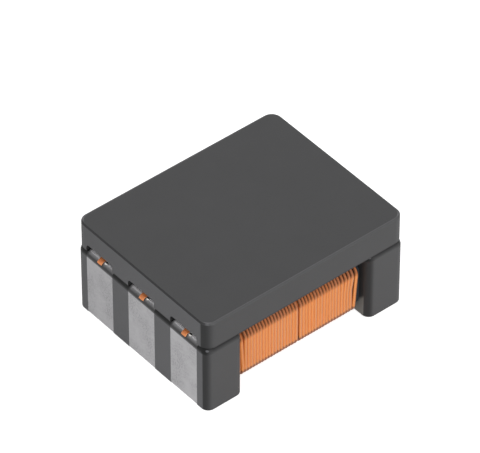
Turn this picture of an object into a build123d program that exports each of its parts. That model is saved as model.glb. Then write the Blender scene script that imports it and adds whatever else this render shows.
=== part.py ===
from build123d import *
import os
from math import cos, radians, sin

# Three-line common mode choke: an H-shaped ferrite drum core with six wrap-round terminals,
# three enamelled wires wound side by side round its bar, and a ferrite cover plate glued on.
# Millimetres. X runs along the winding axis, Z is up and the terminals stand on Z = 0.
# End a is the flange at -X, end b is the flange at +X, and the front is the side at -Y.

# Overall case
case_length = 2.5
case_width = 2.0
case_height = 1.15

# Cover plate
plate_thickness = 0.32
plate_corner_radius = 0.118
plate_edge_chamfer = 0.015
groove_height = 0.085
groove_corner_radius = 0.04
groove_overrun = 0.03

# Drum core
glue_thickness = 0.01
core_lift = 0.004
flange_thickness = 0.457
flange_corner_radius = 0.085
flange_inner_radius = 0.085
flange_top_radius = 0.06
flange_foot_chamfer = 0.008
bar_lift = 0.115
bar_drop = 0.185
bar_setback = 0.14
bar_corner_radius = 0.08

# Terminals
lines = 3
terminal_margin = 0.153
terminal_gap = 0.247
terminal_thickness = 0.015
terminal_reach = 0.35
terminal_foot_radius = 0.025

# Winding: each pass down the front is followed by one up the back
wire_diameter = 0.037
wire_sides = 8
bend_facets = 2
bar_gap = 0.004
turn_gap = 0.0005
group_gap = 0.01
winding_margin = 0.05
winding_offset = -0.028
underside_shift = 1.5
start_lean = 0.02
end_lean = 0.035
end_turn_gap = 0.0065
end_fan = 5
end_fan_drop = 0.07

# Leads from the winding over the flanges
lead_gap = 0.002
lead_rise = 0.02
lead_turn = 0.03

# Flattened tails bonded to the terminals
tail_width = 0.068
tail_thickness = 0.018
tail_flat = 0.055
tail_taper = 0.045
tail_wrap = 66
tail_facets = 2

# Solder round the tails
solder_film = 0.003
solder_width = 0.13
solder_length = 0.12
solder_height = 0.014

# Glue pads between flange and plate
glue_margin = 0.012

# Directions in the plane of a bend, in degrees from the back or from the far end
back_way = 0
up_way = 90
front_way = 180
down_way = 270
quarter_turn = 90

# Places that follow from the sizes above
half_length = case_length / 2
half_width = case_width / 2
plate_bottom = case_height - plate_thickness
flange_top = plate_bottom - glue_thickness
window_half = half_length - flange_thickness
bar_top = flange_top - bar_drop
bar_width = case_width - 2 * bar_setback
terminal_width = (case_width - 2 * terminal_margin - (lines - 1) * terminal_gap) / lines
terminal_pitch = terminal_width + terminal_gap
wire_radius = wire_diameter / 2
wire_pitch = wire_diameter + turn_gap
turns = int((2 * (window_half - winding_margin) - group_gap) / (lines * wire_pitch))
turn_radius = bar_corner_radius + bar_gap + wire_radius
corner_y = bar_width / 2 - bar_corner_radius
corner_top = bar_top - bar_corner_radius
corner_bottom = bar_lift + bar_corner_radius
front_y = corner_y + turn_radius
pass_top = corner_top + turn_radius
end_fan_height = corner_top - end_fan_drop
front_passes = lines * turns
front_group = front_passes // 2 + 1
row_length = front_passes * wire_pitch + group_gap
line_places = [terminal_pitch * ((lines - 1) / 2 - line) for line in range(lines)]
top_flat_start = half_length - flange_top_radius
top_flat_end = window_half + flange_top_radius


def block(x_low, x_high, y_low, y_high, z_low, z_high):
    """A box between two corners."""
    body = Box(x_high - x_low, y_high - y_low, z_high - z_low)
    return Pos((x_low + x_high) / 2, (y_low + y_high) / 2, (z_low + z_high) / 2) * body


def half_turn(shape):
    """The same shape at the other end of the part."""
    return Rot(0, 0, 180) * shape


def round_corner(outline, place, radius):
    """A flat outline with its corner nearest to a place rounded."""
    corner = outline.vertices().sort_by_distance(place)[0]
    return fillet(corner, radius)


def flange():
    """The flange at end a, with rounded corners and edges."""
    body = block(-half_length, -window_half, -half_width, half_width, core_lift, flange_top)
    upright = body.edges().filter_by(Axis.Z)
    body = fillet(upright.group_by(Axis.X)[0], flange_corner_radius)
    upright = body.edges().filter_by(Axis.Z)
    body = fillet(upright.group_by(Axis.X)[-1], flange_inner_radius)
    body = fillet(body.faces().sort_by(Axis.Z)[-1].edges(), flange_top_radius)
    return chamfer(body.faces().sort_by(Axis.Z)[0].edges(), flange_foot_chamfer)


def side_outline(inset, length):
    """A terminal's side view at end a, inset from its outer face, as a face in XZ."""
    left = -half_length + inset
    low = inset
    high = flange_top - inset
    corners = [(left, 0, low), (left + length, 0, low), (left + length, 0, high), (left, 0, high)]
    outline = Sketch() + make_face(Polyline(*corners, close=True))
    outline = round_corner(outline, corners[0], terminal_foot_radius - inset)
    return round_corner(outline, corners[3], flange_top_radius - inset)


def across(outline, place, width):
    """An XZ outline made solid over a width along Y."""
    return extrude(Pos(0, place, 0) * outline, amount=width / 2, dir=(0, 1, 0), both=True)


def terminal(place):
    """One wrap-round terminal at end a: top pad, end face and foot."""
    outer = across(side_outline(0, terminal_reach), place, terminal_width)
    inner = side_outline(terminal_thickness, terminal_reach)
    return outer - across(inner, place, 2 * terminal_width)


def terminal_recess(place):
    """The space that a terminal takes out of the flange at end a."""
    reach = -half_length + terminal_reach
    half_strip = terminal_width / 2
    space = block(
        -case_length, reach, place - half_strip, place + half_strip, -case_height, case_height
    )
    inner = side_outline(terminal_thickness, terminal_reach)
    return space - across(inner, place, 2 * terminal_width)


def drum_core():
    """Both flanges and the bar between them, pressed as one piece."""
    end = flange()
    for place in line_places:
        end = end - terminal_recess(place)
    overlap = flange_inner_radius
    bar = block(
        -window_half - overlap, window_half + overlap,
        -bar_width / 2, bar_width / 2, bar_lift, bar_top,
    )
    bar = fillet(bar.edges().filter_by(Axis.X), bar_corner_radius)
    return end + half_turn(end) + bar


def groove(place):
    """The channel in the plate's underside that lets one lead out at end a."""
    right = place - terminal_width / 2
    left = place + terminal_width / 2
    low = plate_bottom - groove_height
    high = plate_bottom + groove_height
    start = -case_length
    corners = [(start, right, low), (start, left, low), (start, left, high), (start, right, high)]
    outline = Sketch() + make_face(Polyline(*corners, close=True))
    outline = round_corner(outline, corners[2], groove_corner_radius)
    outline = round_corner(outline, corners[3], groove_corner_radius)
    return extrude(outline, amount=case_length - window_half + groove_overrun, dir=(1, 0, 0))


def cover_plate():
    """The ferrite plate with a groove over each terminal."""
    body = block(
        -half_length, half_length, -half_width, half_width, plate_bottom, case_height
    )
    body = fillet(body.edges().filter_by(Axis.Z), plate_corner_radius)
    body = chamfer(body.faces().sort_by(Axis.Z)[-1].edges(), plate_edge_chamfer)
    for place in line_places:
        body = body - groove(place) - half_turn(groove(place))
    return body


def glue_pad(y_low, y_high):
    """One film of glue on the flat of the flange at end a."""
    return block(
        -top_flat_start + glue_margin, -top_flat_end - glue_margin,
        y_low + glue_margin, y_high - glue_margin, flange_top, plate_bottom,
    )


def glue_pads():
    """The glue films of end a, one beside and between the terminals."""
    half_strip = terminal_width / 2
    edges = [half_width - flange_top_radius]
    for place in line_places:
        edges += [place + half_strip, place - half_strip]
    edges += [-half_width + flange_top_radius]
    return [glue_pad(low, high) for high, low in zip(edges[::2], edges[1::2])]


def section(width, thickness):
    """The faceted cross-section of a wire, round or rolled flat."""
    angles = [radians(360 * (side + 0.5) / wire_sides) for side in range(wire_sides)]
    points = [(width / 2 * cos(a), thickness / 2 * sin(a)) for a in angles]
    return make_face(Polyline(*points, close=True))


def bend(centre, radius, start, sweep_angle):
    """Mitre points of a faceted bend round a centre, as offsets in its plane."""
    step = sweep_angle / bend_facets
    reach = radius / cos(radians(step / 2))
    angles = [radians(start + step * (facet + 0.5)) for facet in range(bend_facets)]
    return [(centre[0] + reach * cos(a), centre[1] + reach * sin(a)) for a in angles]


def turn_corner(y_side, z_centre, start, x):
    """A wire's bend round one corner of the bar, followed from front to back below it."""
    points = bend((y_side * corner_y, z_centre), turn_radius, start, quarter_turn)
    return [(x, y, z) for y, z in points]


def front_place(slot):
    """Where a pass of the front row lies along X."""
    gap = group_gap if slot >= front_group else 0
    end_gap = end_turn_gap if slot == front_passes - 1 else 0
    start = winding_offset - row_length / 2
    return start + (slot + 0.5) * wire_pitch + gap + end_gap


def front_top_place(slot):
    """Where the same pass comes over the top edge: the outermost ones fan outwards."""
    start_share = max(0, lines - slot) / lines
    end_share = max(0, end_fan + slot + 1 - front_passes) / end_fan
    return front_place(slot) - start_lean * start_share + end_lean * end_share


def wire_turn(slot):
    """One turn: down the front, under the bar, up the back and over to the next turn."""
    x_top = front_top_place(slot)
    x_front = front_place(slot)
    x_back = x_front + underside_shift * wire_pitch
    points = turn_corner(-1, corner_top, up_way, x_top)
    if front_passes - end_fan <= slot < front_passes - 1:
        points.append((x_front, -front_y, end_fan_height))
    points += turn_corner(-1, corner_bottom, front_way, x_front)
    points += turn_corner(1, corner_bottom, down_way, x_back)
    return points + turn_corner(1, corner_top, back_way, x_back)


def lead(place):
    """A lead at end a, from its terminal over the flange's edge to the winding's top."""
    over = flange_top_radius + lead_gap + wire_radius
    centre = (-top_flat_end, flange_top - flange_top_radius)
    points = [(-top_flat_start + tail_flat + tail_taper, place, centre[1] + over)]
    points += [(x, place, z) for x, z in bend(centre, over, up_way, -quarter_turn)]
    lane = points[-1][0]
    low = pass_top + lead_rise
    points.append((lane, place, low + lead_turn))
    points.append((lane, place - lead_turn, low))
    return points


def tail(root, place):
    """The flattened end of a lead at end a, wrapped over the rounded edge of its terminal."""
    flat = section(tail_width, tail_thickness)
    radius = flange_top_radius + solder_film + tail_thickness / 2
    low = flange_top - flange_top_radius
    inner = Plane(
        origin=(-top_flat_start + tail_flat, place, low + radius), x_dir=(0, 1, 0), z_dir=(1, 0, 0)
    )
    stations = [root, inner * flat]
    for facet in range(tail_facets + 1):
        angle = radians(tail_wrap * facet / tail_facets)
        origin = (-top_flat_start - radius * sin(angle), place, low + radius * cos(angle))
        along = (cos(angle), 0, sin(angle))
        stations.append(Plane(origin=origin, x_dir=(0, 1, 0), z_dir=along) * flat)
    return loft(stations, ruled=True)


def winding(line):
    """One wire in one piece: tail, lead, all its turns, lead and tail."""
    place = line_places[line]
    slots = [turn * lines + lines - 1 - line for turn in range(turns)]
    path = lead(place)
    for slot in slots:
        path += wire_turn(slot)
    path += [(-x, -y, z) for x, y, z in reversed(lead(-place))]
    start = Plane(origin=path[0], x_dir=(0, 1, 0), z_dir=(1, 0, 0))
    round_wire = start * section(wire_diameter, wire_diameter)
    body = sweep(round_wire, path=Polyline(*path), transition=Transition.RIGHT)
    first = body.faces().sort_by(Axis.X)[0]
    last = body.faces().sort_by(Axis.X)[-1]
    far_tail = half_turn(tail(half_turn(last), -place))
    return body + tail(first, place) + far_tail


def solder(place):
    """The low dome of solder on a terminal at end a, before the wire's tail is sunk in it."""
    middle = -top_flat_start + solder_length / 2
    top = flange_top + solder_height
    along = (solder_width**2 / 4 + solder_height**2) / (2 * solder_height)
    crossways = (solder_length**2 / 4 + solder_height**2) / (2 * solder_height)
    ridge = Rot(0, 90, 0) * Cylinder(along, solder_length)
    saddle = Rot(90, 0, 0) * Cylinder(crossways, solder_width)
    dome = Pos(middle, place, top - along) * ridge & Pos(middle, place, top - crossways) * saddle
    above = block(
        middle - solder_length, middle + solder_length,
        place - solder_width, place + solder_width, flange_top, top,
    )
    return dome & above


nodes = {"drum_core": drum_core(), "cover_plate": cover_plate()}
for line, place in enumerate(line_places):
    wire = winding(line)
    number = line + 1
    nodes[f"winding_{number}"] = wire
    nodes[f"terminal_a{number}"] = terminal(place)
    nodes[f"terminal_b{number}"] = half_turn(terminal(-place))
    nodes[f"solder_a{number}"] = solder(place) - wire
    nodes[f"solder_b{number}"] = half_turn(solder(-place)) - wire
for number, pad in enumerate(glue_pads(), 1):
    nodes[f"glue_a{number}"] = pad
    nodes[f"glue_b{number}"] = half_turn(pad)

os.makedirs("parts", exist_ok=True)
for name, shape in nodes.items():
    export_step(shape, f"parts/{name}.step")
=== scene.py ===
"""Looks of a three-line common mode choke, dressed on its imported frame.

Fields are in millimetres unless their name says otherwise, and meshes are in metres.
End a is the flange at -X, end b the flange at +X, and the front is the side at -Y.
A finish's fields in rise and fall say where a share starts and where it is whole or gone.
"""

import logging
import math
import random
from collections.abc import Mapping
from dataclasses import dataclass, field
from enum import Enum
from functools import cached_property, reduce

import bmesh
import bpy
from mathutils import Matrix, Vector


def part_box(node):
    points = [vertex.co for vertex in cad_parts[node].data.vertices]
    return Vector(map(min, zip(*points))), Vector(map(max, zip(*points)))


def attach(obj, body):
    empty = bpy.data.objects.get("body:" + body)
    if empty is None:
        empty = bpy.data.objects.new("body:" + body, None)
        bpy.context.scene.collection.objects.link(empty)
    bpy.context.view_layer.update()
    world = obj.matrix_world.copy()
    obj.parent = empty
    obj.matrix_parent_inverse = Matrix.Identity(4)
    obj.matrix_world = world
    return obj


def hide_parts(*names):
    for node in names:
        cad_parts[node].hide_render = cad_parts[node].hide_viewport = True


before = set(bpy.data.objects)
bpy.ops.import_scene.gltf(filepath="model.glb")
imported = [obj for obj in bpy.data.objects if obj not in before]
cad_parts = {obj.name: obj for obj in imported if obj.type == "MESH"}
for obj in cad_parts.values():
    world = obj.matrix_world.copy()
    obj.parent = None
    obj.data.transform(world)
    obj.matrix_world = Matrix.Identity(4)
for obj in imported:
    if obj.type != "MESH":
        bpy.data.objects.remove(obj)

MM = 0.001
TINY = 1e-9
END_BLEND = 0.3
BODY = "root"
LINES = 3
LOG = logging.getLogger("choke")

Pair = tuple[float, float]
Point = tuple[float, float, float]
Colour = tuple[float, float, float, float]
Stops = tuple[Pair, ...]
Socket = bpy.types.NodeSocket
Sockets = Mapping[str, Socket]
Value = float | Socket
Paint = Colour | Socket

WHITE: Colour = (1.0, 1.0, 1.0, 1.0)


class End(Enum):
    """The two ends of the part, by the sign that turns end a's places into theirs."""

    A = 1
    B = -1

    @property
    def letter(self) -> str:
        """The letter in the names of this end's pieces."""
        return self.name.lower()


def srgb(*channels: float) -> Colour:
    """Turns red, green and blue of 0 to 255 into the linear colour that shaders take."""
    shares = [channel / 255 for channel in channels]
    return (*(s / 12.92 if s <= 0.04045 else ((s + 0.055) / 1.055) ** 2.4 for s in shares), 1.0)


class Nodes:
    """A node tree, with one call for each node."""

    def __init__(self, tree: bpy.types.NodeTree) -> None:
        """Takes a tree over and empties it."""
        self.tree = tree
        tree.nodes.clear()

    def add(self, kind: str, inputs: dict | None = None, **settings: object) -> bpy.types.Node:
        """Adds a node, sets its properties and fills or links its inputs.

        Args:
            kind: The node's type. A shader node's may go without its prefix.
            inputs: Values or output sockets, by input name or number.
            settings: Properties of the node itself.

        Returns:
            The new node.
        """
        node = self.tree.nodes.new(kind if "Node" in kind else "ShaderNode" + kind)
        for key, value in settings.items():
            setattr(node, key, value)
        for key, value in (inputs or {}).items():
            if isinstance(value, Socket):
                self.tree.links.new(value, node.inputs[key])
            else:
                node.inputs[key].default_value = value
        return node

    def math(self, operation: str, first: Value, second: Value = 0.0) -> Socket:
        """Adds a Math node with one or two values."""
        return self.add("Math", {0: first, 1: second}, operation=operation).outputs[0]

    def times(self, *values: Value) -> Socket:
        """Multiplies values with each other, from the first on."""
        return reduce(lambda first, second: self.math("MULTIPLY", first, second), values)

    def span(self, value: Value, low: float, high: float, start: float = 0.0,
             end: Value = 1.0) -> Socket:
        """Maps the range from low to high onto start to end, held at both ends."""
        inputs = {"Value": value, "From Min": low, "From Max": high, "To Min": start, "To Max": end}
        return self.add("MapRange", inputs, clamp=True).outputs["Result"]


class Shader(Nodes):
    """A material's node tree."""

    def __init__(self, name: str) -> None:
        """Starts a material with an empty node tree.

        Args:
            name: The material's name.
        """
        self.material = bpy.data.materials.new(name)
        self.material.use_nodes = True
        super().__init__(self.material.node_tree)

    @cached_property
    def facing(self) -> Sockets:
        """How far a face looks along X, Y and Z."""
        return self.add("SeparateXYZ", {0: self.add("NewGeometry").outputs["Normal"]}).outputs

    @cached_property
    def place(self) -> Sockets:
        """The place in metres along X, Y and Z."""
        return self.add("SeparateXYZ", {0: self.add("TexCoord").outputs["Object"]}).outputs

    @cached_property
    def turned(self) -> Socket:
        """The place along Y, turned half round for end b."""
        return self.times(self.math("SIGN", self.place["X"]), self.place["Y"])

    @cached_property
    def outward(self) -> Socket:
        """How far a face looks out of its own end, -1 to 1."""
        return self.times(self.math("SIGN", self.place["X"]), self.facing["X"])

    @cached_property
    def at_end(self) -> Socket:
        """1 on faces that look along X, 0 on those that look along Y."""
        along, across = (self.math("ABSOLUTE", self.facing[axis]) for axis in "XY")
        return self.span(self.math("SUBTRACT", along, across), -END_BLEND, END_BLEND)

    def mix(self, factor: Value, first: Paint, second: Paint, blend: str = "MIX") -> Socket:
        """Mixes two colours by the second one's share."""
        inputs = {0: factor, 6: first, 7: second}
        return self.add("Mix", inputs, data_type="RGBA", blend_type=blend).outputs[2]

    def shaded(self, colour: Paint, *shares: Value) -> Socket:
        """Multiplies shares onto a colour, one after the other."""
        return reduce(lambda left, share: self.mix(1.0, left, share, "MULTIPLY"), shares, colour)

    def noise(self, grain: float, detail: float = 3.0, roughness: float = 0.55,
              stretch: Point = (1.0, 1.0, 1.0)) -> Socket:
        """Adds noise in the piece's own place.

        Args:
            grain: Size of the largest blotches in millimetres.
            detail: Octaves.
            roughness: How much the finer octaves weigh.
            stretch: How many times finer the noise is along each axis.

        Returns:
            The noise's value.
        """
        place = self.add("TexCoord").outputs["Object"]
        scaled = self.add("Mapping", {"Vector": place, "Scale": stretch}).outputs[0]
        inputs = {"Vector": scaled, "Scale": 1 / (grain * MM), "Detail": detail,
                  "Roughness": roughness}
        return self.add("TexNoise", inputs).outputs["Fac"]

    def ramp(self, value: Value, stops: Stops) -> Socket:
        """Turns a value into a grey through straight steps.

        Args:
            value: What drives it.
            stops: Positions from 0 to 1 with their greys, at least two.

        Returns:
            The grey as a colour.
        """
        node = self.add("ValToRGB", {"Fac": value})
        bar = node.color_ramp.elements
        while len(bar) < len(stops):
            bar.new(0.5)
        for element, (position, grey) in zip(bar, stops):
            element.position = position
            element.color = (grey, grey, grey, 1)
        return node.outputs["Color"]

    def rough(self, value: Value, roughness: Pair) -> Socket:
        """Roughness from its least value, with the second number added where value is 1."""
        return self.math("ADD", self.times(value, roughness[1]), roughness[0])

    def bump(self, height: Value, depth: float) -> Socket:
        """The normal, bumped by a height of 0 to 1 that stands for a depth in millimetres."""
        inputs = {"Height": height, "Distance": depth * MM, "Strength": 1.0}
        return self.add("Bump", inputs).outputs["Normal"]

    def finish(self, inputs: dict[str, object]) -> bpy.types.Material:
        """Closes the tree with a Principled shader of these inputs."""
        self.add("OutputMaterial", {"Surface": self.add("BsdfPrincipled", inputs).outputs[0]})
        return self.material


@dataclass(frozen=True)
class FerriteFinish:
    """Sintered ferrite: a dark fired skin, and a painted sheen that makes the flat end faces paler.
    """

    name: str
    fired: Colour
    # ground is a painted sheen: the colour of flat end faces, paler than the skin as if they caught
    # more light.
    ground: Colour = srgb(85, 85, 87)
    # light_falloff is a painted light falloff: end faces lighter towards the front at end a and
    # towards the back at end b.
    light_falloff: Pair = (0.79, 1.12)
    half_width: float = 1.0
    # glint_grey is the colour of a painted glint on rounded corners.
    glint_grey: Colour = srgb(118, 118, 122)
    grain: float = 0.011
    grain_stops: Stops = ((0.3, 0.93), (0.7, 1.0))
    cloud: float = 0.35
    cloud_stops: Stops = ((0.3, 0.96), (0.7, 1.0))
    relief: float = 0.0008
    roughness: Pair = (0.45, 0.16)
    specular: float = 0.2
    flat_end_limit: float = 0.985
    flat_end_step: float = 0.005
    # Painted shade by how far a face looks out of its end: a hard dark rim next to the flat end,
    # darker rounded corners and inner faces.
    end_rim_shade: float = 0.155
    upright_shade_stops: Stops = (
        (0.0, 0.36), (0.06, 0.25), (0.2, 0.3), (0.3, 0.52), (0.42, 0.97), (0.5, 0.975),
        (0.56, 1.0), (0.61, 1.0), (0.66, 0.9), (0.71, 0.77), (0.755, 0.645), (0.8, 0.51),
        (0.835, 0.405), (0.9, 0.268), (0.95, 0.208))
    # point and glint_share place the painted glint where a face looks up and out along X and Y
    # alike.
    point: Pair = (0.972, 0.992)
    glint_share: float = 0.6

    def corner_shade(self, tree: Shader) -> Socket:
        """Painted shade on upright faces: darkest on rounded corners and on inner faces, with a
        hard dark rim where the flat end face ends.

        Args:
            tree: The material.

        Returns:
            The share as a grey.
        """
        limit = (self.flat_end_limit + 1) / 2
        rim = ((limit - self.flat_end_step, self.end_rim_shade), (limit, 1.0))
        return tree.ramp(tree.span(tree.outward, -1, 1), self.upright_shade_stops + rim)

    def edge_light_and_shade(self, tree: Shader) -> Socket:
        """Painted light and shade on edges between upright and level faces."""
        raise NotImplementedError

    def tinted(self, tree: Shader, colour: Socket) -> Socket:
        """Lets a piece tint part of itself."""
        raise NotImplementedError

    def build(self) -> bpy.types.Material:
        """Makes the material.

        Returns:
            The finished material.
        """
        tree = Shader(self.name)
        along, across = (tree.math("ABSOLUTE", tree.facing[axis]) for axis in "XY")
        grain, cloud = tree.noise(self.grain, detail=4), tree.noise(self.cloud, detail=2)
        reach = self.half_width * MM
        # Painted light falloff across the flat end faces.
        ground = tree.shaded(self.ground, tree.span(tree.turned, -reach, reach, *self.light_falloff))
        # Painted sheen: faces that look straight along X take the paler ground colour.
        on_flat_end = tree.math("GREATER_THAN", tree.outward, self.flat_end_limit)
        colour = tree.shaded(
            tree.mix(on_flat_end, self.fired, ground), tree.ramp(grain, self.grain_stops),
            tree.ramp(cloud, self.cloud_stops), self.corner_shade(tree),
            self.edge_light_and_shade(tree))
        # Painted glint: pale grey where a rounded corner faces up and out along both X and Y.
        diagonal = tree.math("ADD", tree.math("ADD", along, across), tree.facing["Z"])
        point = tree.span(tree.math("DIVIDE", diagonal, math.sqrt(3)), *self.point)
        colour = tree.mix(tree.times(point, self.glint_share), colour, self.glint_grey)
        return tree.finish({
            "Base Color": self.tinted(tree, colour),
            "Roughness": tree.rough(grain, self.roughness),
            "Specular IOR Level": self.specular, "Normal": tree.bump(grain, self.relief)})


@dataclass(frozen=True)
class CoreFinish(FerriteFinish):
    """The drum core's ferrite: painted shade where it rolls over under the plate, and a painted
    copper-orange light on the bar under the wire.
    """

    name: str = "core_ferrite"
    fired: Colour = srgb(82, 82, 83)
    top: float = 0.82
    edge_radius: float = 0.06
    roll_radii: float = 1.28
    # Painted shade on the top edges that roll over under the plate, and along the groove between
    # flange and plate.
    roll_shading_stops: Stops = ((0.0, 1.0), (0.1, 0.5), (0.25, 0.22), (0.45, 0.13), (1.0, 0.12))
    side_rise: Pair = (0.0, 0.7)
    side_fall: Pair = (0.99, 0.97)
    side_shade_stops: Stops = ((0.0, 1.0), (1.0, 0.36))
    wound: Pair = (-0.78, 0.69)
    # gap_light is a painted light: copper-orange on the bar, so the shaded gaps between the wires
    # show brown.
    gap_light: Colour = srgb(236, 138, 76)
    # bare_light_and_shade is here a painted shade: the bar beside the winding in dark blue-grey.
    bare_light_and_shade: Colour = srgb(50, 57, 64)
    # lit is a painted pool of the board's bounce light on the window's low inner corners.
    lit: Colour = srgb(118, 118, 114)
    bounce: Pair = (-0.616, 0.95)
    bounce_blur: float = 0.02
    inner: Pair = (0.794, 0.7955)

    def edge_light_and_shade(self, tree: Shader) -> Socket:
        """Painted shade: dark with a hard start on the ends, a soft dark groove along the sides,
        where the top edges roll over under the plate.

        Args:
            tree: The material.

        Returns:
            The share.
        """
        start = (self.top - self.roll_radii * self.edge_radius) * MM
        rolled_shading = tree.ramp(tree.span(tree.place["Z"], start, self.top * MM), self.roll_shading_stops)
        slope = tree.times(
            *(tree.span(tree.facing["Z"], *ends) for ends in (self.side_rise, self.side_fall)))
        return tree.mix(tree.at_end, tree.ramp(slope, self.side_shade_stops), rolled_shading)

    def tinted(self, tree: Shader, colour: Socket) -> Socket:
        """Paints light and shade in the window: a painted pool of the board's bounce light on its
        low corners, painted shade on the bar beside the winding, and a painted copper-orange light
        on the bar under it.

        Args:
            tree: The material.
            colour: The ferrite's colour.

        Returns:
            The colour.
        """
        along, across = (tree.math("ABSOLUTE", tree.place[axis]) for axis in "XY")
        line = tree.math("SUBTRACT", tree.place["Z"], tree.times(across, self.bounce[1]))
        low = tree.span(line, (self.bounce[0] + self.bounce_blur) * MM,
                        (self.bounce[0] - self.bounce_blur) * MM)
        inside = tree.span(along, self.inner[1] * MM, self.inner[0] * MM)
        # Painted bounce light low on the inner faces.
        colour = tree.mix(tree.times(inside, low), colour, self.lit)
        # Painted shade on the bar beside the winding.
        bar = tree.math("LESS_THAN", along, (2 * self.inner[0] - self.inner[1]) * MM)
        colour = tree.mix(bar, colour, self.bare_light_and_shade)
        # Painted light on the bar under the winding.
        wound = tree.times(tree.math("GREATER_THAN", tree.place["X"], self.wound[0] * MM),
                           tree.math("LESS_THAN", tree.place["X"], self.wound[1] * MM))
        return tree.mix(wound, colour, self.gap_light)


@dataclass(frozen=True)
class PlateFinish(FerriteFinish):
    """The cover plate's ferrite, with painted highlights on the bevel and along the top's rim, and
    painted shade on the hem and the groove walls.
    """

    name: str = "plate_ferrite"
    fired: Colour = srgb(79, 79, 80)
    # The plate's own painted light falloff across its flat end faces.
    light_falloff: Pair = (0.72, 1.03)
    bottom: float = 0.83
    # Painted shade along the hem at the plate's bottom, and painted highlights on the top bevel.
    hem: float = 0.02
    hem_shade_stops: Stops = ((0.0, 0.6), (1.0, 1.0))
    bevel_rise: Pair = (0.1, 0.3)
    bevel_fall: Pair = (0.99, 0.9)
    end_highlight: float = 1.15
    side_highlight: float = 1.3
    # rim_highlight and glint set a painted highlight along the top's rim and at its corners;
    # groove_shade is painted shade on the groove walls.
    rim_highlight: float = 0.6
    rim_highlight_width: float = 0.027
    glint: float = 0.9
    glint_rise: Pair = (0.3, 0.5)
    corner: Point = (1.132, 0.882, 0.118)
    level: float = 0.95
    side: float = 0.87
    wall_rise: Pair = (0.2, 0.5)
    groove_shade: float = 0.35

    def edge_light_and_shade(self, tree: Shader) -> Socket:
        """A painted highlight on the bevel at the ends, a brighter one on the sides, and painted
        shade along the hem below.

        Args:
            tree: The material.

        Returns:
            The share.
        """
        bevel = tree.times(
            *(tree.span(tree.facing["Z"], *ends) for ends in (self.bevel_rise, self.bevel_fall)))
        line = tree.span(tree.at_end, 0, 1, self.side_highlight, self.end_highlight)
        low = tree.span(tree.place["Z"], self.bottom * MM, (self.bottom + self.hem) * MM)
        return tree.shaded(tree.ramp(low, self.hem_shade_stops), tree.span(bevel, 0, 1, 1.0, line))

    def tinted(self, tree: Shader, colour: Socket) -> Socket:
        """Paints a highlight on the rim of the top, brightest along the sides and at the corners,
        and painted shade on the grooves' walls.

        Args:
            tree: The material.
            colour: The ferrite's colour.

        Returns:
            The colour.
        """
        along, across = (tree.math("ABSOLUTE", tree.place[axis]) for axis in "XY")
        beyond = [
            tree.math("MAXIMUM", tree.math("SUBTRACT", far, edge * MM), 0.0)
            for far, edge in zip((along, across), self.corner)]
        reach = tree.math(
            "SQRT", tree.math("ADD", *(tree.times(distance, distance) for distance in beyond)))
        # Painted highlight on the rim of the top.
        rim = tree.times(
            tree.math("GREATER_THAN", tree.facing["Z"], self.level),
            tree.math("GREATER_THAN", reach, (self.corner[2] - self.rim_highlight_width) * MM))
        lengthways, sideways = (
            tree.math("DIVIDE", distance, tree.math("MAXIMUM", reach, TINY)) for distance in beyond)
        diagonal = tree.span(tree.times(sideways, lengthways), *self.glint_rise)
        amount = tree.math(
            "ADD", tree.times(sideways, self.rim_highlight), tree.times(diagonal, self.glint))
        bright = tree.math("ADD", 1.0, tree.times(rim, amount))
        # Painted shade on the grooves' side walls.
        wall = tree.times(tree.math("LESS_THAN", across, self.side * MM),
                          tree.span(tree.math("ABSOLUTE", tree.facing["Y"]), *self.wall_rise))
        return tree.shaded(colour, bright, tree.span(wall, 0, 1, 1.0, self.groove_shade))


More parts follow.
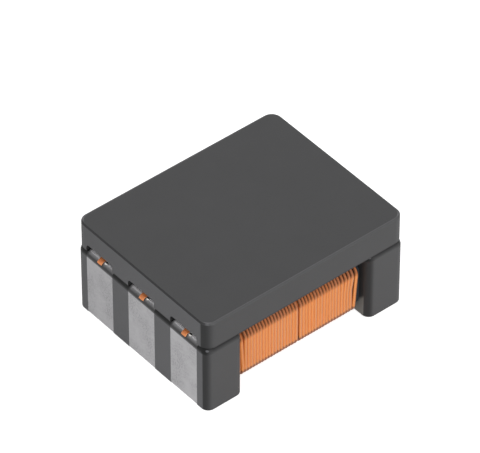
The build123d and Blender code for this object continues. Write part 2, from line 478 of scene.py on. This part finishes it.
@dataclass(frozen=True)
class TinFinish:
    """Matt plated tin: soft grey metal with fine dark freckles in drifts."""

    name: str = "matt_tin"
    pale: Colour = srgb(164, 163, 165)
    dull: Colour = srgb(122, 122, 124)
    spots: float = 0.6
    freckle: float = 0.016
    freckle_rise: Pair = (0.5, 0.64)
    drift: float = 0.2
    drift_rise: Pair = (0.45, 0.6)
    drift_stretch: Point = (1.0, 1.0, 0.7)
    veil_stops: Stops = ((0.35, 1.0), (0.7, 0.89))
    rub: float = 0.03
    rub_stretch: Point = (1.0, 0.6, 1.4)
    rub_stops: Stops = ((0.35, 0.93), (0.65, 1.0))
    relief: float = 0.0012
    metallic: float = 0.55
    roughness: Pair = (0.42, 0.2)
    top: float = 0.82
    edge_radius: float = 0.06
    roll_radii: float = 1.18
    # Painted shade, then a painted light band, up the strip's rounded top edge.
    roll_shading_gain: float = 2.6
    roll_shading_stops: Stops = (
        (0.01, 0.12), (0.27, 0.04), (0.42, 0.028), (0.56, 0.05), (0.68, 0.1), (0.79, 0.17),
        (0.88, 0.3), (0.94, 0.85), (0.98, 1.0))
    # tin_light_falloff is a painted light falloff across the terminals, lighter towards the front
    # at end a.
    tin_light_falloff: Pair = (0.88, 1.06)
    tin_falloff_reach: float = 0.75
    pitch: float = 0.647
    half_width: float = 0.2
    shadow: float = 0.35
    shadow_insets: Pair = (0.024, 0.01)
    shadow_radii: Pair = (0.75, 0.4)

    def build(self) -> bpy.types.Material:
        """Makes the material, with painted shade and a painted light band where the strip rolls
        over the flange's edge.

        Returns:
            The finished material.
        """
        tree = Shader(self.name)
        fine = tree.noise(self.freckle, roughness=0.6)
        drift = tree.noise(self.drift, detail=2, roughness=0.5, stretch=self.drift_stretch)
        rub = tree.noise(self.rub, detail=2, roughness=0.5, stretch=self.rub_stretch)
        spots = tree.times(tree.span(fine, *self.freckle_rise),
                           tree.span(drift, *self.drift_rise), self.spots)
        # Painted shade and light on the rounded top edge.
        start = (self.top - self.roll_radii * self.edge_radius) * MM
        rolled_shading = tree.ramp(tree.span(tree.place["Z"], start, self.top * MM),
                           ((0.0, 1 / self.roll_shading_gain), *self.roll_shading_stops))
        reach = self.tin_falloff_reach * MM
        half_pitch = self.pitch / 2 * MM
        local = tree.add("Math", {0: tree.turned, 1: -half_pitch, 2: half_pitch}, operation="WRAP")
        near = tree.span(local.outputs[0], *(
            -(self.half_width - inset) * MM for inset in self.shadow_insets))
        raised = tree.span(tree.place["Z"], *(
            (self.top - radii * self.edge_radius) * MM for radii in self.shadow_radii))
        # Painted light falloff across the row of terminals.
        colour = tree.shaded(
            tree.mix(spots, self.pale, self.dull), tree.ramp(drift, self.veil_stops),
            tree.ramp(rub, self.rub_stops), tree.times(rolled_shading, self.roll_shading_gain),
            tree.span(tree.turned, -reach, reach, *self.tin_light_falloff),
            tree.span(tree.times(near, raised), 0, 1, 1.0, self.shadow))
        return tree.finish({
            "Base Color": colour, "Metallic": self.metallic,
            "Roughness": tree.rough(fine, self.roughness),
            "Normal": tree.bump(fine, self.relief)})


@dataclass(frozen=True)
class EnamelFinish:
    """Copper wire under thin enamel, with painted shade where it rolls over the bar's top, darkest
    in the grooves between wires.
    """

    name: str = "enamelled_copper"
    light: Colour = srgb(227, 134, 66)
    deep: Colour = srgb(213, 126, 58)
    rosy: Colour = srgb(206, 138, 100)
    # glow is a painted light on the upright wires' flanks, against the shade between them.
    glow: Colour = srgb(244, 165, 90)
    # shade and groove_shade_colour are painted shade on the roll-over under the plate, the darker
    # one in the grooves.
    shade: Colour = srgb(182, 104, 62)
    groove_shade_colour: Colour = srgb(70, 40, 26)
    # under is painted shade along the winding's bottom edge, where the wire turns under.
    under: Colour = srgb(142, 78, 32)
    # bare_top, bare_edge and bare_end are the tails' bare copper in lit and shaded tones, a painted
    # light and shade by how far a face looks up.
    bare_top: Colour = srgb(216, 140, 92)
    bare_edge: Colour = srgb(200, 112, 52)
    bare_end: Colour = srgb(236, 150, 88)
    tint_share: float = 0.65
    streak_share: float = 0.35
    deep_rise: Pair = (0.1, 0.9)
    rosy_repeat: float = 7.0
    rosy_share: float = 0.8
    flank_rise: Pair = (0.15, 0.75)
    flank_light_share: float = 0.9
    above_rise: Pair = (0.0, 0.4)
    shade_share: float = 0.5
    groove_share: float = 0.68
    under_shade_stops: Stops = ((0.02, 0.0), (0.26, 1.0), (0.7, 1.0), (0.95, 0.55))
    edge_rise: Pair = (0.45, 0.8)
    top_rise: Pair = (0.9, 0.99)
    draw: float = 0.02
    draw_stretch: Point = (1.0, 1.0, 0.12)
    relief: float = 0.0004
    metallic: float = 0.2
    roughness: Pair = (0.42, 0.34)
    specular: float = 0.6

    def build(self) -> bpy.types.Material:
        """Makes the material from what each point of the wire carries: tint, bend and flatness.

        Returns:
            The finished material.
        """
        tree = Shader(self.name)
        tint, bent, flat = (
            tree.add("Attribute", attribute_name=name).outputs["Fac"]
            for name in ("tint", "bent", "flat"))
        streak = tree.noise(self.draw, roughness=0.6, stretch=self.draw_stretch)
        share = tree.math("ADD", tree.times(tint, self.tint_share),
                          tree.times(streak, self.streak_share))
        colour = tree.mix(tree.span(share, *self.deep_rise), self.light, self.deep)
        rosy = tree.times(tree.math("FRACT", tree.times(tint, self.rosy_repeat)), self.rosy_share)
        flank = tree.span(tree.math("ABSOLUTE", tree.facing["X"]), *self.flank_rise)
        above = tree.span(bent, *self.above_rise)
        upright = tree.math("SUBTRACT", 1.0, tree.math("ABSOLUTE", bent))
        below = tree.ramp(tree.times(bent, -1.0), self.under_shade_stops)
        # Painted light on upright flanks; painted shade on the roll-over, in its grooves and along
        # the bottom edge.
        for share, paint in (
            (rosy, self.rosy), (tree.times(flank, upright, self.flank_light_share), self.glow),
            (tree.times(above, self.shade_share), self.shade),
            (tree.times(flank, above, self.groove_share), self.groove_shade_colour), (below, self.under),
        ):
            colour = tree.mix(share, colour, paint)
        # Painted light and shade on the bare tails: lightest where they turn down over the edge,
        # darkest in between, a middle tone on top.
        up = tree.facing["Z"]
        bare_light_and_shade = tree.mix(tree.span(up, *self.edge_rise), self.bare_end, self.bare_edge)
        bare_light_and_shade = tree.mix(tree.span(up, *self.top_rise), bare_light_and_shade, self.bare_top)
        return tree.finish({
            "Base Color": tree.mix(flat, colour, bare_light_and_shade), "Metallic": self.metallic,
            "Roughness": tree.rough(above, self.roughness),
            "Specular IOR Level": self.specular, "Normal": tree.bump(streak, self.relief)})


@dataclass(frozen=True)
class SpeckledFinish:
    """A plain material with a fine speckle of a second colour."""

    name: str
    base: Colour
    speck: Colour
    speck_rise: Pair
    grain: float
    octaves: float
    relief: float
    metallic: float
    roughness: Pair

    def build(self) -> bpy.types.Material:
        """Makes the material.

        Returns:
            The finished material.
        """
        tree = Shader(self.name)
        grain = tree.noise(self.grain, self.octaves)
        speck = tree.span(grain, *self.speck_rise)
        return tree.finish({
            "Base Color": tree.mix(speck, self.base, self.speck), "Metallic": self.metallic,
            "Roughness": tree.rough(grain, self.roughness),
            "Normal": tree.bump(grain, self.relief)})


WETTED_SOLDER = SpeckledFinish(
    name="solder", base=srgb(196, 194, 190), speck=srgb(160, 158, 154), speck_rise=(0.0, 1.0),
    grain=0.02, octaves=3, relief=0.0008, metallic=0.9, roughness=(0.16, 0.2))
CURED_GLUE = SpeckledFinish(
    name="cured_glue", base=srgb(58, 50, 42), speck=srgb(96, 86, 72), speck_rise=(0.5, 0.75),
    grain=0.006, octaves=2, relief=0.0005, metallic=0.0, roughness=(0.3, 0.2))


def dress(obj: bpy.types.Object, material: bpy.types.Material) -> None:
    """Gives an object one material in place of all it has.

    Args:
        obj: The object.
        material: Its new material.
    """
    obj.data.materials.clear()
    obj.data.materials.append(material)
    LOG.info("%s: %s", obj.name, material.name)


def mesh_object(name: str, mesh: bpy.types.Mesh) -> bpy.types.Object:
    """Puts a mesh into the scene as an object at the origin.

    Args:
        name: The object's name.
        mesh: Its mesh, in metres.

    Returns:
        The new object.
    """
    obj = bpy.data.objects.new(name, mesh)
    bpy.context.scene.collection.objects.link(obj)
    return obj


def smooth(mesh: bpy.types.Mesh, sharp_deg: float) -> None:
    """Shades a mesh smooth, apart from edges sharper than an angle in degrees."""
    mesh.shade_smooth()
    mesh.set_sharp_from_angle(angle=math.radians(sharp_deg))


def place_piece(obj: bpy.types.Object, node: str) -> None:
    """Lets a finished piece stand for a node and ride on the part.

    Args:
        obj: The finished piece.
        node: The node that it stands for.
    """
    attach(obj, BODY)
    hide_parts(node)
    LOG.info("%s: %d faces", obj.name, len(obj.data.polygons))


def terminal_place(end: End, number: int) -> float:
    """Where a terminal lies along Y, read from the frame and turned round for end b."""
    low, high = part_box(f"terminal_{end.letter}{number}")
    return (low.y + high.y) / 2 / MM * end.value


def arc(centre: Pair, radius: float, start: float, sweep: float, steps: int) -> list[Pair]:
    """Points of an arc in a plane.

    Args:
        centre: The arc's centre.
        radius: Its radius.
        start: Where it starts, in degrees.
        sweep: How far it turns, in degrees.
        steps: Its number of equal steps.

    Returns:
        The points from one end to the other.
    """
    angles = [math.radians(start + sweep * step / steps) for step in range(steps + 1)]
    return [(centre[0] + radius * math.cos(a), centre[1] + radius * math.sin(a)) for a in angles]


def softened(points: list[Point], rounds: int) -> list[Point]:
    """Cuts the corners of a route at a quarter of each side, so that a wire could follow it.

    Args:
        points: The route's points.
        rounds: How often each corner is cut.

    Returns:
        The softened route, with the same two ends.
    """
    for _ in range(rounds):
        cut = [points[0]]
        for first, second in zip(points, points[1:]):
            for share in (0.25, 0.75):
                cut.append(tuple(a + (b - a) * share for a, b in zip(first, second)))
        points = cut + [points[-1]]
    return points


@dataclass
class WireTree:
    """The Geometry Nodes tree that draws a wire along a path and flattens its tails."""

    sides: int = 16
    sharp_deg: float = 50
    nodes: Nodes = field(init=False)
    inputs: dict[str, str] = field(init=False)

    def __post_init__(self) -> None:
        """Builds the tree once, for all the wires."""
        self.nodes = Nodes(bpy.data.node_groups.new("drawn_wire", "GeometryNodeTree"))
        face = self.nodes.tree.interface
        face.new_socket("Path", in_out="INPUT", socket_type="NodeSocketGeometry")
        made = {
            name: face.new_socket(name, in_out="INPUT", socket_type="NodeSocket" + kind)
            for name, kind in (
                ("Diameter", "Float"), ("Sides", "Int"), ("Tail Width", "Float"),
                ("Tail Thickness", "Float"), ("Material", "Material"),
            )
        }
        self.inputs = {name: socket.identifier for name, socket in made.items()}
        face.new_socket("Wire", in_out="OUTPUT", socket_type="NodeSocketGeometry")
        self._link_nodes()

    def _vector(self, operation: str, first: Socket, second: Socket | Point) -> Socket:
        """Adds a Vector Math node with two vectors."""
        return self.nodes.add("VectorMath", {0: first, 1: second}, operation=operation).outputs[0]

    def _scaled(self, part: Socket, size: Socket, diameter: Socket, flat: Socket) -> Socket:
        """Scales one direction of the section where the wire is rolled flat.

        Args:
            part: Each point's distance from the centre line in that direction.
            size: The flattened size in that direction.
            diameter: The round wire's diameter.
            flat: How flat the wire is there, 0 to 1.

        Returns:
            The scaled distance.
        """
        nodes = self.nodes
        change = nodes.math("SUBTRACT", nodes.math("DIVIDE", size, diameter), 1.0)
        factor = nodes.math("ADD", nodes.times(change, flat), 1.0)
        return nodes.add("VectorMath", {0: part, "Scale": factor}, operation="SCALE").outputs[0]

    def _link_nodes(self) -> None:
        """Links the path to the drawn and flattened wire."""
        add = self.nodes.add
        given = add("NodeGroupInput").outputs
        keep = add("GeometryNodeCaptureAttribute")
        keep.capture_items.new("VECTOR", "Centre")
        curve = add("GeometryNodeMeshToCurve", {0: given["Path"]}).outputs[0]
        position = add("GeometryNodeInputPosition").outputs[0]
        for socket, entry in ((curve, 0), (position, 1)):
            self.nodes.tree.links.new(socket, keep.inputs[entry])
        radius = self.nodes.times(given["Diameter"], 0.5)
        profile = add(
            "GeometryNodeCurvePrimitiveCircle", {"Resolution": given["Sides"], "Radius": radius})
        drawn = add("GeometryNodeCurveToMesh", {
            "Curve": keep.outputs[0], "Profile Curve": profile.outputs[0], "Fill Caps": True})
        away = self._vector("SUBTRACT", position, keep.outputs[1])
        across = self._vector("MULTIPLY", away, (0, 1, 0))
        rest = self._vector("SUBTRACT", away, across)
        flat = add(
            "GeometryNodeInputNamedAttribute", {"Name": "flat"}, data_type="FLOAT").outputs[0]
        wide, thin = (
            self._scaled(part, given[size], given["Diameter"], flat)
            for part, size in ((across, "Tail Width"), (rest, "Tail Thickness")))
        spot = self._vector("ADD", keep.outputs[1], self._vector("ADD", wide, thin))
        moved = add("GeometryNodeSetPosition", {0: drawn.outputs[0], "Position": spot})
        real = add("GeometryNodeRealizeInstances", {0: moved.outputs[0]})
        coated = add(
            "GeometryNodeSetMaterial", {0: real.outputs[0], "Material": given["Material"]})
        add("NodeGroupOutput", {0: coated.outputs[0]})

    def draw(self, name: str, path: bpy.types.Mesh, sizes: dict[str, float],
             material: bpy.types.Material) -> bpy.types.Object:
        """Draws one wire and turns it into a plain mesh.

        Args:
            name: The piece's name.
            path: Vertices and edges of the route, with the attributes flat, tint and bent.
            sizes: The tree's sizes by name, in metres.
            material: The wire's material.

        Returns:
            The finished piece.
        """
        carrier = mesh_object(name + "_path", path)
        modifier = carrier.modifiers.new("drawn_wire", "NODES")
        modifier.node_group = self.nodes.tree
        for entry, value in {"Sides": self.sides, "Material": material, **sizes}.items():
            modifier[self.inputs[entry]] = value
        graph = bpy.context.evaluated_depsgraph_get()
        mesh = bpy.data.meshes.new_from_object(
            carrier.evaluated_get(graph), preserve_all_data_layers=True, depsgraph=graph)
        carrier.modifiers.remove(modifier)
        bpy.data.objects.remove(carrier)
        mesh.name = name
        smooth(mesh, self.sharp_deg)
        return mesh_object(name, mesh)


@dataclass
class Winding:
    """Three enamelled wires wound side by side round the bar, with leads and tails."""

    finish: EnamelFinish = EnamelFinish()
    wire_diameter: float = 0.037
    turn_gap: float = 0.0005
    bar_corner_radius: float = 0.08
    bar_gap: float = 0.004
    bar_setback: float = 0.14
    bar_drop: float = 0.185
    bar_lift: float = 0.103
    flange_thickness: float = 0.457
    flange_top_radius: float = 0.06
    turns: int = 13
    group_gap: float = 0.018
    row_offset: float = -0.023
    underside_shift: float = 1.5
    start_lean: float = 0.02
    start_shares: Point = (1.0, 0.95, 0.2)
    start_slip: float = 0.014
    end_lean: float = 0.029
    end_turn_gap: float = 0.0065
    end_fan: int = 5
    end_fan_drop: float = 0.15
    lead_gap: float = 0.002
    lead_rise: float = 0.02
    lead_turn: float = 0.03
    lead_rounds: int = 4
    tail_width: float = 0.068
    tail_thickness: float = 0.018
    tail_flat: float = 0.055
    tail_taper: float = 0.045
    tail_wrap_deg: float = 58
    solder_film: float = 0.003
    stand_off: float = 0.0016
    corner_steps: int = 8
    seed: int = 7

    def __post_init__(self) -> None:
        """Works the row's places out from the frame and the sizes above."""
        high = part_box("drum_core")[1]
        half_length = high.x / MM
        self.flange_top = high.z / MM
        self.wire_radius = self.wire_diameter / 2
        self.pitch = self.wire_diameter + self.turn_gap
        self.turn_radius = self.bar_corner_radius + self.bar_gap + self.wire_radius
        self.corner_y = high.y / MM - self.bar_setback - self.bar_corner_radius
        self.corner_top = self.flange_top - self.bar_drop - self.bar_corner_radius
        self.corner_bottom = self.bar_lift + self.bar_corner_radius
        self.pass_top = self.corner_top + self.turn_radius
        self.lead_radius = self.flange_top_radius + self.lead_gap + self.wire_radius
        self.passes = LINES * self.turns
        self.first_group = self.passes // 2 + 1
        self.row_start = self.row_offset - (self.passes * self.pitch + self.group_gap) / 2
        self.flat_start = half_length - self.flange_top_radius
        self.flat_end = half_length - self.flange_thickness + self.flange_top_radius
        source = random.Random(self.seed)
        self.tints = [source.random() for _ in range(self.passes)]
        self.proud = [self.stand_off * source.random() for _ in range(self.passes)]

    def front_place(self, slot: int) -> float:
        """Where a pass of the front row lies along X.

        Args:
            slot: The pass, 0 at end a.

        Returns:
            Its place.
        """
        gap = self.group_gap if slot >= self.first_group else 0
        end_gap = self.end_turn_gap if slot == self.passes - 1 else 0
        return self.row_start + (slot + 0.5) * self.pitch + gap + end_gap

    def turn(self, slot: int) -> list[Point]:
        """One turn: down the front, under the bar and up the back. The row's ends fan outwards.

        Args:
            slot: The front row's pass that it starts with.

        Returns:
            The turn's points.
        """
        x_front = self.front_place(slot)
        start_share = self.start_shares[slot] if slot < LINES else 0.0
        end_share = max(0, self.end_fan + slot + 1 - self.passes) / self.end_fan
        x_top = x_front - self.start_lean * start_share + self.end_lean * end_share
        x_low = x_front - (self.start_slip if slot == 0 else 0)
        x_back = x_front + self.underside_shift * self.pitch
        proud = self.proud[slot]
        points = []
        for side, height, start, x in (
            (-1, self.corner_top, 90, x_top), (-1, self.corner_bottom, 180, x_low),
            (1, self.corner_bottom, 270, x_back), (1, self.corner_top, 0, x_back),
        ):
            bend = arc((side * self.corner_y, height), self.turn_radius + proud, start, 90,
                       self.corner_steps)
            points += [(x, y, z) for y, z in bend]
        if self.passes - self.end_fan <= slot < self.passes - 1:
            height = self.corner_top - self.end_fan_drop
            fan = (x_front, -self.corner_y - self.turn_radius - proud, height)
            points.insert(self.corner_steps + 1, fan)
        return points

    def lead(self, place: float) -> list[Point]:
        """A lead at end a, from its tail over the flange's edge to the winding's top.

        Args:
            place: The line's place along Y.

        Returns:
            The lead's points.
        """
        centre = (-self.flat_end, self.flange_top - self.flange_top_radius)
        bend = [
            (x, place, z) for x, z in arc(centre, self.lead_radius, 90, -90, self.corner_steps)]
        low = self.pass_top + self.lead_rise
        lane = bend[-1][0]
        return bend + [(lane, place, low + self.lead_turn), (lane, place - self.lead_turn, low)]

    def tail(self, place: float) -> list[Point]:
        """The centre line of a tail at end a, from its tip to the round wire.

        Args:
            place: The line's place along Y.

        Returns:
            The tail's points.
        """
        radius = self.flange_top_radius + self.solder_film + self.tail_thickness / 2
        low = self.flange_top - self.flange_top_radius
        wrap = arc((-self.flat_start, low), radius, 90 + self.tail_wrap_deg, -self.tail_wrap_deg,
                   self.corner_steps)
        flat = -self.flat_start + self.tail_flat
        return [(x, place, z) for x, z in wrap] + [
            (flat, place, low + radius), (flat + self.tail_taper, place, low + self.lead_radius)]

    def end_run(self, place: float, meets: Point) -> tuple[list[Point], list[float]]:
        """Tail and lead at end a, softened where the lead turns over the winding.

        Args:
            place: The line's place along Y.
            meets: The first point of the wire's first turn.

        Returns:
            The points, and how flat the wire is at each.
        """
        tail = self.tail(place)
        lead = self.lead(place)
        steep = softened(lead[-3:] + [meets], self.lead_rounds)[:-1]
        points = tail + lead[:-3] + steep
        flats = [1.0] * (len(tail) - 1) + [0.0] * (len(points) - len(tail) + 1)
        return points, flats

    def bent(self, point: Point) -> float:
        """How far a turn's point lies round a corner of the bar: 1 on top, -1 below it."""
        above, below = point[2] - self.corner_top, self.corner_bottom - point[2]
        return max(-1.0, min(1.0, (max(0.0, above) - max(0.0, below)) / self.turn_radius))

    def route(self, line: int) -> tuple[list[Point], dict[str, list[float]]]:
        """One wire's whole route.

        Args:
            line: The line, 0 at +Y.

        Returns:
            The points, and what the wire carries at each: how flat, its tint and its bend.
        """
        place = terminal_place(End.A, line + 1)
        slots = [turn * LINES + LINES - 1 - line for turn in range(self.turns)]
        turns = [self.turn(slot) for slot in slots]
        last = turns[-1][-1]
        points, flats = self.end_run(place, turns[0][0])
        finish, finish_flats = self.end_run(-place, (-last[0], -last[1], last[2]))
        tints = [self.tints[slots[0]]] * len(points)
        for slot, turn in zip(slots, turns):
            points += turn
            tints += [self.tints[slot]] * len(turn)
        flats += [0.0] * (len(points) - len(flats)) + finish_flats[::-1]
        tints += [self.tints[slots[-1]]] * len(finish)
        points += [(-x, -y, z) for x, y, z in reversed(finish)]
        bends = [0.0 if flat else self.bent(point) for flat, point in zip(flats, points)]
        return points, {"flat": flats, "tint": tints, "bent": bends}

    def build(self) -> None:
        """Draws the three wires in place of their nodes."""
        tree = WireTree()
        material = self.finish.build()
        sizes = {
            "Diameter": self.wire_diameter * MM, "Tail Width": self.tail_width * MM,
            "Tail Thickness": self.tail_thickness * MM,
        }
        for line in range(LINES):
            points, carried = self.route(line)
            path = bpy.data.meshes.new(f"route_{line + 1}")
            path.from_pydata(
                [tuple(value * MM for value in point) for point in points],
                [(i, i + 1) for i in range(len(points) - 1)], [])
            for name, values in carried.items():
                path.attributes.new(name, "FLOAT", "POINT").data.foreach_set("value", values)
            wire = tree.draw(f"wire_{line + 1}", path, sizes, material)
            place_piece(wire, f"winding_{line + 1}")


@dataclass
class SolderPads:
    """The six low domes of solder round the tails, each with a bead that ran over the edge."""

    finish: SpeckledFinish = WETTED_SOLDER
    width: float = 0.13
    length: float = 0.12
    height: float = 0.014
    fall: float = 0.8
    edge_radius: float = 0.06
    bead: Point = (0.017, 0.023, 0.013)
    bead_side: float = 0.055
    bead_wrap_deg: float = 18
    bead_detail: int = 3
    rings: int = 10
    around: int = 40
    waves: int = 4
    wobble: float = 0.06
    sharp_deg: float = 60
    seed: int = 3

    def outline(self, angle: float, phases: list[float]) -> float:
        """How far the dome reaches in one direction, as a share of its half sizes."""
        waves = sum(math.sin((i + 2) * angle + phase) / (i + 2) for i, phase in enumerate(phases))
        return 1 - self.wobble + self.wobble * waves

    def build_one(self, name: str, end: End, place: float, phases: list[float]) -> bpy.types.Mesh:
        """Builds one dome on its terminal.

        Args:
            name: The piece's name.
            end: The end that it lies at.
            place: The terminal's middle along Y, at end a.
            phases: Phases of the outline's waves.

        Returns:
            The dome's mesh.
        """
        low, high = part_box("terminal_a1")
        middle = low.x / MM + self.edge_radius + self.length / 2
        base = high.z / MM
        work = bmesh.new()
        top = work.verts.new(self._spot(middle, place, base + self.height, end))
        foot = work.verts.new(self._spot(middle, place, base, end))
        loops = []
        for ring in range(1, self.rings + 1):
            share = ring / self.rings
            rise = self.height * (1 - share**2) ** self.fall
            loop = []
            for step in range(self.around):
                angle = math.tau * step / self.around
                reach = share * self.outline(angle, phases)
                x = middle + reach * self.length / 2 * math.cos(angle)
                y = place + reach * self.width / 2 * math.sin(angle)
                loop.append(work.verts.new(self._spot(x, y, base + rise, end)))
            loops.append(loop)
        for i in range(self.around):
            j = (i + 1) % self.around
            work.faces.new((top, loops[0][i], loops[0][j]))
            work.faces.new((foot, loops[-1][j], loops[-1][i]))
            for inner, outer in zip(loops, loops[1:]):
                work.faces.new((inner[i], outer[i], outer[j], inner[j]))
        self._add_bead(work, (middle - self.length / 2, place, base), end)
        bmesh.ops.recalc_face_normals(work, faces=work.faces)
        mesh = bpy.data.meshes.new(name)
        work.to_mesh(mesh)
        work.free()
        smooth(mesh, self.sharp_deg)
        return mesh

    def _add_bead(self, work: bmesh.types.BMesh, edge: Point, end: End) -> None:
        """Adds the bead beside the tail, on the terminal's rounded edge.

        Args:
            work: The mesh in work.
            edge: Where the rounded edge starts in the terminal's middle, at end a.
            end: The end that it lies at.
        """
        wrap = math.radians(self.bead_wrap_deg)
        spot = self._spot(
            edge[0] - self.edge_radius * math.sin(wrap), edge[1] - self.bead_side,
            edge[2] - self.edge_radius * (1 - math.cos(wrap)), end)
        turn = Matrix.Rotation(-wrap * end.value, 4, "Y")
        size = Matrix.Diagonal(Vector(self.bead) * MM).to_4x4()
        bmesh.ops.create_icosphere(work, subdivisions=self.bead_detail, radius=1.0,
                                   matrix=Matrix.Translation(spot) @ turn @ size)

    def _spot(self, x: float, y: float, z: float, end: End) -> Vector:
        """A place in metres, turned round for end b."""
        return Vector((x * end.value, y * end.value, z)) * MM

    def build(self) -> None:
        """Builds all six."""
        material = self.finish.build()
        source = random.Random(self.seed)
        for end in End:
            for number in range(1, LINES + 1):
                phases = [source.random() * math.tau for _ in range(self.waves)]
                name = f"fillet_{end.letter}{number}"
                mesh = self.build_one(name, end, terminal_place(end, number), phases)
                piece = mesh_object(name, mesh)
                dress(piece, material)
                place_piece(piece, f"solder_{end.letter}{number}")


@dataclass
class Kept:
    """Pieces of one kind, which keep their solids and share a finish."""

    kind: str
    finish: FerriteFinish | TinFinish | SpeckledFinish

    def build(self) -> None:
        """Gives every node of this kind its finish."""
        material = self.finish.build()
        for node in sorted(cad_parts):
            if node.startswith(self.kind):
                dress(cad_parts[node], material)


@dataclass(frozen=True)
class Lamp:
    """A soft lamp far away, in the direction given."""

    name: str
    direction: Point
    strength: float
    angle_deg: float

    def build(self) -> None:
        """Hangs the lamp."""
        data = bpy.data.lights.new(self.name, "SUN")
        data.energy = self.strength
        data.angle = math.radians(self.angle_deg)
        lamp = bpy.data.objects.new(self.name, data)
        lamp.rotation_mode = "QUATERNION"
        lamp.rotation_quaternion = Vector(self.direction).to_track_quat("Z", "Y")
        bpy.context.scene.collection.objects.link(lamp)


@dataclass
class Studio:
    """Plain floor, soft light and the camera at the photograph's angle."""

    azimuth_deg: float = -39.6457
    elevation_deg: float = 42.7677
    distance: float = 48.0554
    rise: float = 0.7446
    slide: float = -0.007
    focal_px: float = 4860.6
    frame_width_px: float = 480
    sensor_mm: float = 36.0
    clip: Pair = (1.0, 10000.0)
    floor_size: float = 400.0
    floor_drop: float = 0.002
    floor_paint: Colour = srgb(240, 240, 240)
    sky_light: float = 0.42
    floor_glow: float = 0.72
    lamps: tuple[Lamp, ...] = (
        Lamp("key", (-0.25, -0.88, 0.68), 1.25, 50),
        Lamp("fill", (-0.9, 0.1, 0.45), 0.6, 80),
        Lamp("back", (0.65, 0.72, 0.25), 0.35, 70),
    )

    def camera(self) -> None:
        """Sets the camera up."""
        azimuth, elevation = math.radians(self.azimuth_deg), math.radians(self.elevation_deg)
        back = Vector((
            math.sin(azimuth) * math.cos(elevation),
            -math.cos(azimuth) * math.cos(elevation), math.sin(elevation)))
        right = Vector((math.cos(azimuth), math.sin(azimuth), 0))
        up = back.cross(right)
        data = bpy.data.cameras.new("camera")
        data.sensor_width = self.sensor_mm
        data.lens = self.sensor_mm * self.focal_px / self.frame_width_px
        data.clip_start, data.clip_end = (distance * MM for distance in self.clip)
        camera = bpy.data.objects.new("camera", data)
        camera.location = (back * self.distance + up * self.rise + right * self.slide) * MM
        camera.rotation_mode = "QUATERNION"
        camera.rotation_quaternion = (-back).to_track_quat("-Z", "Y")
        bpy.context.scene.collection.objects.link(camera)
        bpy.context.scene.camera = camera

    def _seen(self, tree: Nodes) -> Socket:
        """1 for rays of the camera, off a gloss or through glass, and 0 for all others."""
        rays = tree.add("LightPath").outputs
        seen = tree.math("MAXIMUM", rays["Is Camera Ray"], rays["Is Glossy Ray"])
        return tree.math("MAXIMUM", seen, rays["Is Transmission Ray"])

    def world(self) -> None:
        """A white sky to look at, which lights the part more softly."""
        world = bpy.data.worlds.new("studio")
        world.use_nodes = True
        tree = Nodes(world.node_tree)
        level = tree.span(self._seen(tree), 0, 1, self.sky_light, 1.0)
        background = tree.add("Background", {"Color": WHITE, "Strength": level})
        tree.add("OutputWorld", {"Surface": background.outputs[0]})
        bpy.context.scene.world = world

    def floor(self) -> None:
        """A white floor that shows white but keeps the part's shadow."""
        tree = Shader("floor")
        glow = tree.times(self._seen(tree), self.floor_glow)
        matt = tree.add("BsdfDiffuse", {"Color": self.floor_paint})
        shine = tree.add("Emission", {"Color": WHITE, "Strength": glow})
        lit = tree.add("AddShader", {0: matt.outputs[0], 1: shine.outputs[0]})
        clear = tree.add("BsdfTransparent")
        below = tree.add("NewGeometry").outputs["Backfacing"]
        both = tree.add("MixShader", {0: below, 1: lit.outputs[0], 2: clear.outputs[0]})
        tree.add("OutputMaterial", {"Surface": both.outputs[0]})
        half = self.floor_size / 2 * MM
        level = -self.floor_drop * MM
        mesh = bpy.data.meshes.new("floor")
        corners = [(-half, -half), (half, -half), (half, half), (-half, half)]
        mesh.from_pydata([(x, y, level) for x, y in corners], [], [(0, 1, 2, 3)])
        floor = mesh_object("floor", mesh)
        dress(floor, tree.material)

    def build(self) -> None:
        """Builds the whole studio."""
        bpy.context.scene.view_settings.view_transform = "Standard"
        self.camera()
        self.world()
        self.floor()
        for lamp in self.lamps:
            lamp.build()


def main() -> None:
    """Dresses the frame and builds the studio."""
    logging.basicConfig(level=logging.INFO, format="%(name)s: %(message)s")
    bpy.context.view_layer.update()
    for assembly in (
        Kept("drum_core", CoreFinish()), Kept("cover_plate", PlateFinish()),
        Kept("terminal_", TinFinish()), Winding(), SolderPads(), Kept("glue_", CURED_GLUE),
        Studio(),
    ):
        LOG.info("building %s", type(assembly).__name__)
        assembly.build()


if __name__ == "__main__":
    main()
